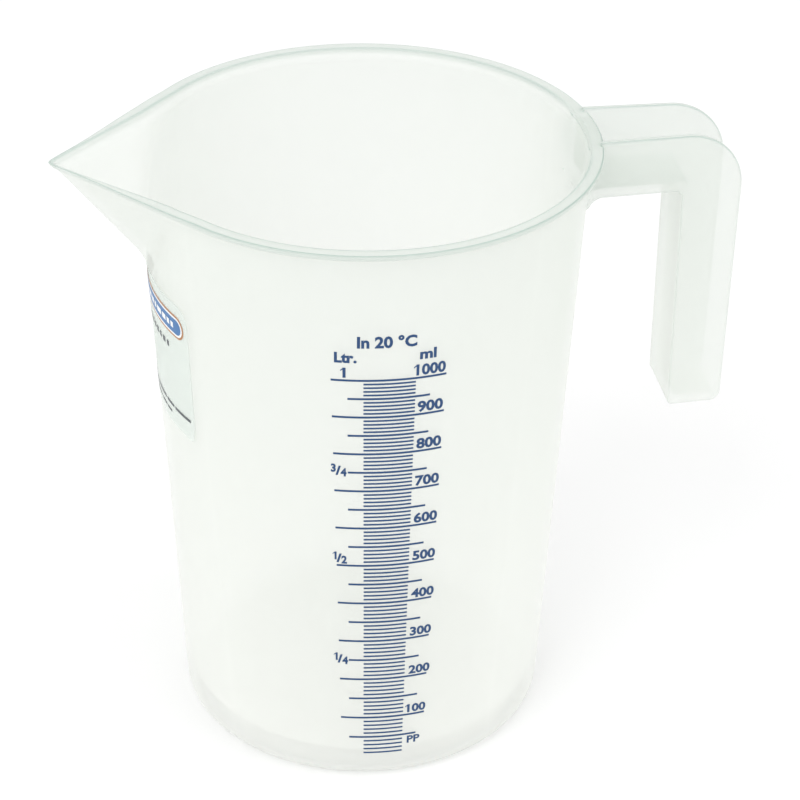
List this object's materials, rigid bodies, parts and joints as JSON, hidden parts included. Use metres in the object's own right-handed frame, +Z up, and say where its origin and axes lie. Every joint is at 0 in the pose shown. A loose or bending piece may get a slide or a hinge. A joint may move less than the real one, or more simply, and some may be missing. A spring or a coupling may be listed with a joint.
{
  "type": "measuring jug",
  "caption": "Translucent one-litre measuring jug with a pointed pouring spout, an open channel handle and a printed millilitre scale, for measuring and pouring liquids.",
  "frame": {"origin": "centre of the object's footprint box, on the plane that the foot ring stands on; the beaker's own axis is 8.53 mm to the spout's side of it", "axes": "+X towards the handle, -X towards the spout's tip, -Y the side that the printed scale faces, +Z up"},
  "size_m": [0.1776, 0.1218, 0.1673],
  "materials": {
    "polypropylene": "milky translucent polypropylene with a soft satin gloss",
    "scale_ink": "screen-printed navy ink",
    "label_film": "printed self-adhesive film"
  },
  "bodies": {
    "root": {"jug_body": "polypropylene", "handle_front_plate": "polypropylene", "handle_back_plate": "polypropylene", "handle_arm_web": "polypropylene", "handle_grip_web": "polypropylene", "handle_end_wall": "polypropylene", "graduation_0050_ml": "scale_ink", "graduation_0100_ml": "scale_ink", "graduation_0150_ml": "scale_ink", "graduation_0200_ml": "scale_ink", "graduation_0250_ml": "scale_ink", "graduation_0300_ml": "scale_ink", "graduation_0350_ml": "scale_ink", "graduation_0400_ml": "scale_ink", "graduation_0450_ml": "scale_ink", "graduation_0500_ml": "scale_ink", "graduation_0550_ml": "scale_ink", "graduation_0600_ml": "scale_ink", "graduation_0650_ml": "scale_ink", "graduation_0700_ml": "scale_ink", "graduation_0750_ml": "scale_ink", "graduation_0800_ml": "scale_ink", "graduation_0850_ml": "scale_ink", "graduation_0900_ml": "scale_ink", "graduation_0950_ml": "scale_ink", "graduation_1000_ml": "scale_ink", "fine_lines_0000_0050_ml": "scale_ink", "fine_lines_0050_0100_ml": "scale_ink", "fine_lines_0100_0150_ml": "scale_ink", "fine_lines_0150_0200_ml": "scale_ink", "fine_lines_0200_0250_ml": "scale_ink", "fine_lines_0250_0300_ml": "scale_ink", "fine_lines_0300_0350_ml": "scale_ink", "fine_lines_0350_0400_ml": "scale_ink", "fine_lines_0400_0450_ml": "scale_ink", "fine_lines_0450_0500_ml": "scale_ink", "fine_lines_0500_0550_ml": "scale_ink", "fine_lines_0550_0600_ml": "scale_ink", "fine_lines_0600_0650_ml": "scale_ink", "fine_lines_0650_0700_ml": "scale_ink", "fine_lines_0700_0750_ml": "scale_ink", "fine_lines_0750_0800_ml": "scale_ink", "fine_lines_0800_0850_ml": "scale_ink", "fine_lines_0850_0900_ml": "scale_ink", "fine_lines_0900_0950_ml": "scale_ink", "fine_lines_0950_1000_ml": "scale_ink", "adhesive_label": "label_film"}
  },
  "joints": []
}
